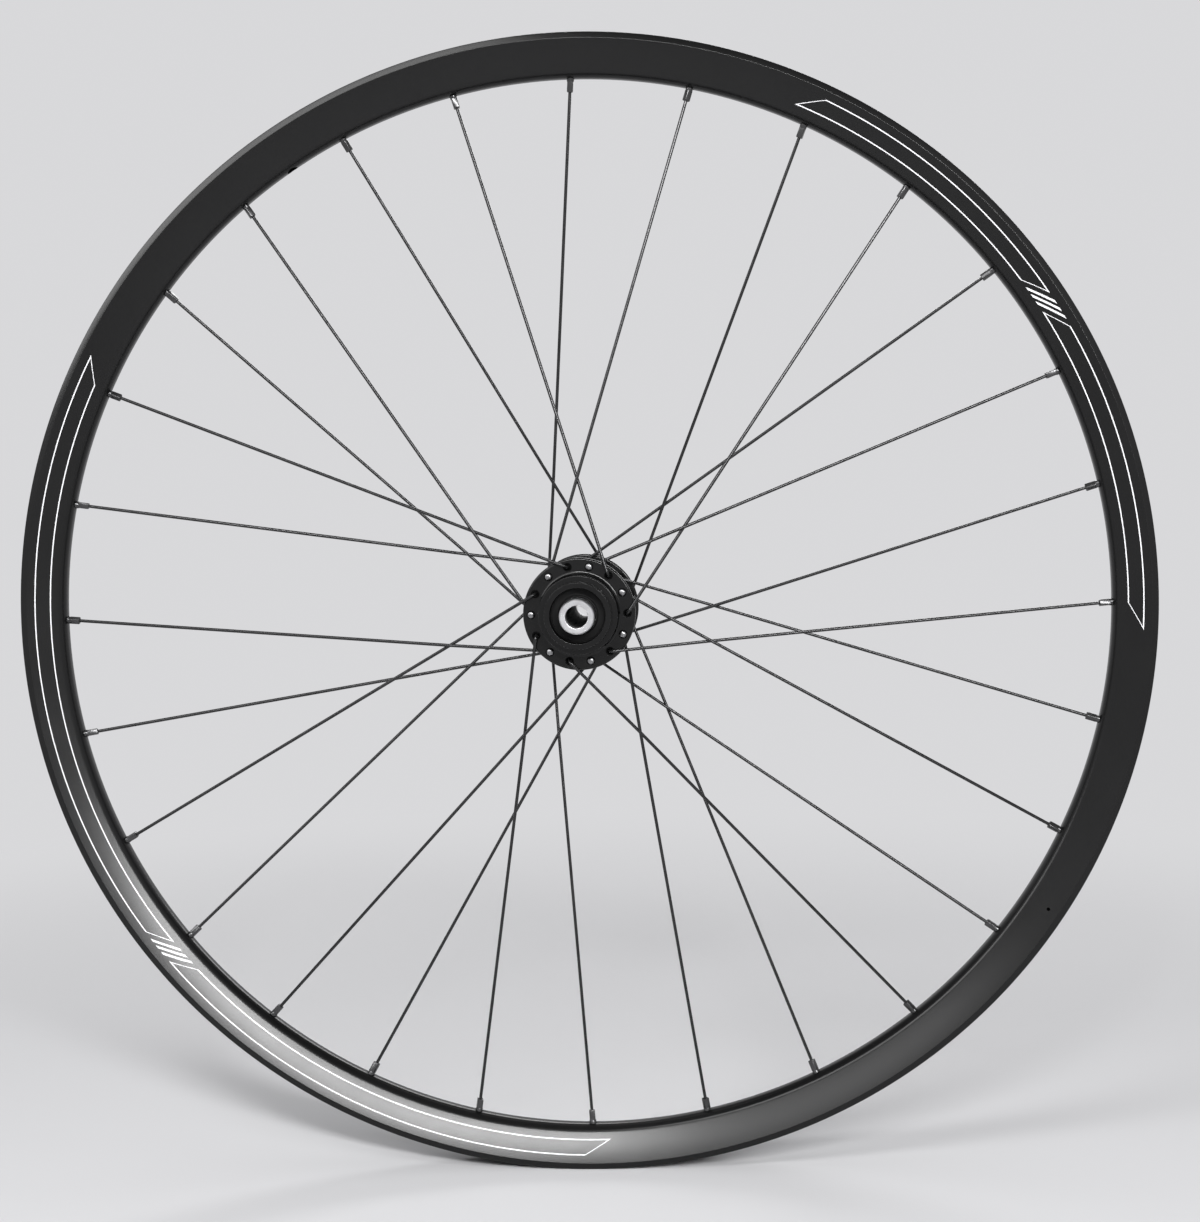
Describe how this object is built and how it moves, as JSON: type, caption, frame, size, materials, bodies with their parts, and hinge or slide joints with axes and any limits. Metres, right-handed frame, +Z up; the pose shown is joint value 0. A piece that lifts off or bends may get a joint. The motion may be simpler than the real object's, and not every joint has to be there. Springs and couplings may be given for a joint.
{
  "type": "bicycle wheel",
  "caption": "Front bicycle wheel for a disc brake: hollow alloy rim, crossed wire spokes and a flanged hub on sealed bearings, turning on a hollow axle for a through bolt.",
  "frame": {"origin": "the wheel's centre: on the axle's axis, on the rim's middle plane and midway between the two end faces of the hub", "axes": "+Y along the axle away from the brake side, +Z up as the picture shows the wheel, through one spoke hole of the rim, and X across"},
  "size_m": [0.634, 0.1, 0.634],
  "materials": {
    "rim_black": "satin black anodised",
    "spoke_black": "black coated steel wire with a slight sheen",
    "nipple_black": "black coated, slightly glossy",
    "hub_black": "gloss black anodised",
    "cap_silver": "machined and clear anodised",
    "axle_alloy": "plain turned",
    "bearing_steel": "ground steel",
    "seal_black": "matt moulded rubber"
  },
  "bodies": {
    "axle": {"axle_tube": "axle_alloy", "left_end_cap": "cap_silver", "right_end_cap": "cap_silver", "left_bearing_inner_race": "bearing_steel", "right_bearing_inner_race": "bearing_steel"},
    "wheel": {"rim": "rim_black", "spoke_nipples": "nipple_black", "hub_shell": "hub_black", "left_bearing_outer_race": "bearing_steel", "right_bearing_outer_race": "bearing_steel", "left_dust_seal": "seal_black", "right_dust_seal": "seal_black", "spoke_01": "spoke_black", "spoke_02": "spoke_black", "spoke_03": "spoke_black", "spoke_04": "spoke_black", "spoke_05": "spoke_black", "spoke_06": "spoke_black", "spoke_07": "spoke_black", "spoke_08": "spoke_black", "spoke_09": "spoke_black", "spoke_10": "spoke_black", "spoke_11": "spoke_black", "spoke_12": "spoke_black", "spoke_13": "spoke_black", "spoke_14": "spoke_black", "spoke_15": "spoke_black", "spoke_16": "spoke_black", "spoke_17": "spoke_black", "spoke_18": "spoke_black", "spoke_19": "spoke_black", "spoke_20": "spoke_black", "spoke_21": "spoke_black", "spoke_22": "spoke_black", "spoke_23": "spoke_black", "spoke_24": "spoke_black", "spoke_25": "spoke_black", "spoke_26": "spoke_black", "spoke_27": "spoke_black", "spoke_28": "spoke_black"},
    "left_balls": {"left_bearing_ball_ring": "bearing_steel"},
    "right_balls": {"right_bearing_ball_ring": "bearing_steel"}
  },
  "joints": [
    {"name": "wheel_spin", "type": "hinge", "parent": "axle", "child": "wheel", "pos_m": [0, 0, 0], "axis": [0, 1, 0], "continuous": true},
    {"name": "left_ball_spin", "type": "hinge", "parent": "axle", "child": "left_balls", "pos_m": [0, -0.03, 0], "axis": [0, 1, 0], "continuous": true},
    {"name": "right_ball_spin", "type": "hinge", "parent": "axle", "child": "right_balls", "pos_m": [0, 0.0367, 0], "axis": [0, 1, 0], "continuous": true}
  ],
  "couplings": [
    {"joint": "left_ball_spin", "follows": "wheel_spin", "ratio": 0.5923},
    {"joint": "right_ball_spin", "follows": "wheel_spin", "ratio": 0.5923}
  ]
}
